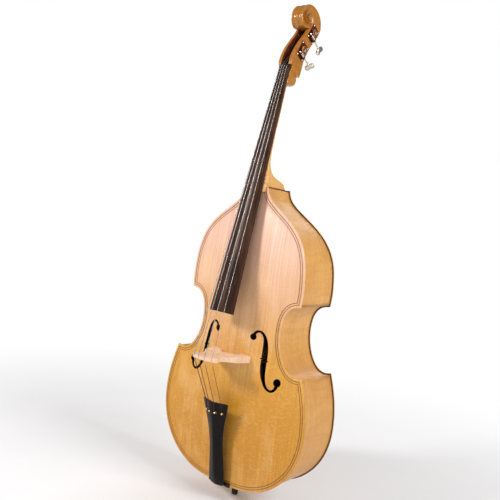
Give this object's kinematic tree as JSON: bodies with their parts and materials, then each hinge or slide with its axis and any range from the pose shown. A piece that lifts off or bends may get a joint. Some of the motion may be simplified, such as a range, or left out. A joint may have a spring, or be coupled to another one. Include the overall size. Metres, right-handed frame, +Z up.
{
  "type": "double bass",
  "caption": "Upright four-string bass with carved front, bent flat back, worm-geared tuning machines, scroll head and a sliding endpin with a locking screw.",
  "frame": {"origin": "centre of the flat bottom of the rubber endpin tip, with the endpin pushed in", "axes": "+Z up along the soundbox and the endpin, +X to the treble side (right for a viewer in front), the front with the strings faces -Y"},
  "size_m": [0.665, 0.4364, 1.8922],
  "materials": {
    "spruce": "satin varnish",
    "maple": "satin varnish",
    "inlay": "satin",
    "inner_wood": "bare",
    "neck_wood": "gloss varnish",
    "ebony": "satin",
    "bridge_maple": "bare",
    "steel": "satin",
    "nickel": "polished",
    "bronze_plate": "dark patina",
    "gear_brass": "worn",
    "string_wrap": "satin",
    "ball_brass": "polished",
    "cable": "gloss",
    "rubber_tip": "matte"
  },
  "bodies": {
    "instrument": {"top_plate": "spruce", "back_plate": "maple", "rib_upper_bass": "maple", "rib_upper_treble": "maple", "rib_centre_bass": "maple", "rib_centre_treble": "maple", "rib_lower_bass": "maple", "rib_lower_treble": "maple", "top_purfling": "inlay", "back_purfling": "inlay", "linings_top": "inner_wood", "linings_back": "inner_wood", "corner_blocks": "inner_wood", "neck_block": "inner_wood", "end_block": "inner_wood", "bass_bar": "inner_wood", "sound_post": "inner_wood", "back_braces": "inner_wood", "neck": "neck_wood", "pegbox_scroll": "neck_wood", "fingerboard": "ebony", "nut": "ebony", "saddle": "ebony", "tailpiece": "ebony", "bridge": "bridge_maple", "tail_wire": "cable", "string_e": "string_wrap", "string_a": "string_wrap", "string_d": "string_wrap", "string_g": "string_wrap", "string_ball_ends": "ball_brass", "machine_plate_e": "bronze_plate", "machine_plate_a": "bronze_plate", "machine_plate_d": "bronze_plate", "machine_plate_g": "bronze_plate", "machine_screws": "nickel", "endpin_socket": "ebony"},
    "endpin": {"endpin_rod": "steel", "endpin_tip": "rubber_tip"},
    "thumbscrew": {"endpin_thumbscrew": "nickel"},
    "key_e": {"tuning_key_e": "nickel"},
    "roller_e": {"roller_e": "steel", "gear_e": "gear_brass", "gear_screw_e": "nickel", "string_winding_e": "string_wrap"},
    "key_a": {"tuning_key_a": "nickel"},
    "roller_a": {"roller_a": "steel", "gear_a": "gear_brass", "gear_screw_a": "nickel", "string_winding_a": "string_wrap"},
    "key_d": {"tuning_key_d": "nickel"},
    "roller_d": {"roller_d": "steel", "gear_d": "gear_brass", "gear_screw_d": "nickel", "string_winding_d": "string_wrap"},
    "key_g": {"tuning_key_g": "nickel"},
    "roller_g": {"roller_g": "steel", "gear_g": "gear_brass", "gear_screw_g": "nickel", "string_winding_g": "string_wrap"}
  },
  "joints": [
    {"name": "endpin_slide", "type": "slide", "parent": "instrument", "child": "endpin", "axis": [0, 0, -1], "range_m": [0, 0.3]},
    {"name": "endpin_lock", "type": "hinge", "parent": "instrument", "child": "thumbscrew", "pos_m": [0.019, 0, 0.0415], "axis": [1, 0, 0], "range_deg": [-540, 0]},
    {"name": "key_e_spin", "type": "hinge", "parent": "instrument", "child": "key_e", "pos_m": [-0.0392, 0.00408, 1.65767], "axis": [0, 0.9239, -0.3827], "range_deg": [-1800, 1800]},
    {"name": "roller_e_spin", "type": "hinge", "parent": "instrument", "child": "roller_e", "pos_m": [-0.0392, 0.0125, 1.678], "axis": [1, 0, 0], "range_deg": [-92, 92]},
    {"name": "key_g_spin", "type": "hinge", "parent": "instrument", "child": "key_g", "pos_m": [0.0392, 0.02068, 1.68831], "axis": [0, 0.8949, -0.4462], "range_deg": [-1800, 1800]},
    {"name": "roller_g_spin", "type": "hinge", "parent": "instrument", "child": "roller_g", "pos_m": [0.0392, 0.0305, 1.708], "axis": [1, 0, 0], "range_deg": [-92, 92]},
    {"name": "key_a_spin", "type": "hinge", "parent": "instrument", "child": "key_a", "pos_m": [-0.0392, 0.04983, 1.72976], "axis": [0, 0.8746, -0.4848], "range_deg": [-1800, 1800]},
    {"name": "roller_a_spin", "type": "hinge", "parent": "instrument", "child": "roller_a", "pos_m": [-0.0392, 0.0605, 1.749], "axis": [1, 0, 0], "range_deg": [-92, 92]},
    {"name": "key_d_spin", "type": "hinge", "parent": "instrument", "child": "key_d", "pos_m": [0.0392, 0.07484, 1.77034], "axis": [0, 0.848, -0.5299], "range_deg": [-1800, 1800]},
    {"name": "roller_d_spin", "type": "hinge", "parent": "instrument", "child": "roller_d", "pos_m": [0.0392, 0.0865, 1.789], "axis": [1, 0, 0], "range_deg": [-92, 92]}
  ],
  "couplings": [
    {"joint": "roller_e_spin", "follows": "key_e_spin", "ratio": -0.05},
    {"joint": "roller_g_spin", "follows": "key_g_spin", "ratio": -0.05},
    {"joint": "roller_a_spin", "follows": "key_a_spin", "ratio": -0.05},
    {"joint": "roller_d_spin", "follows": "key_d_spin", "ratio": -0.05}
  ]
}
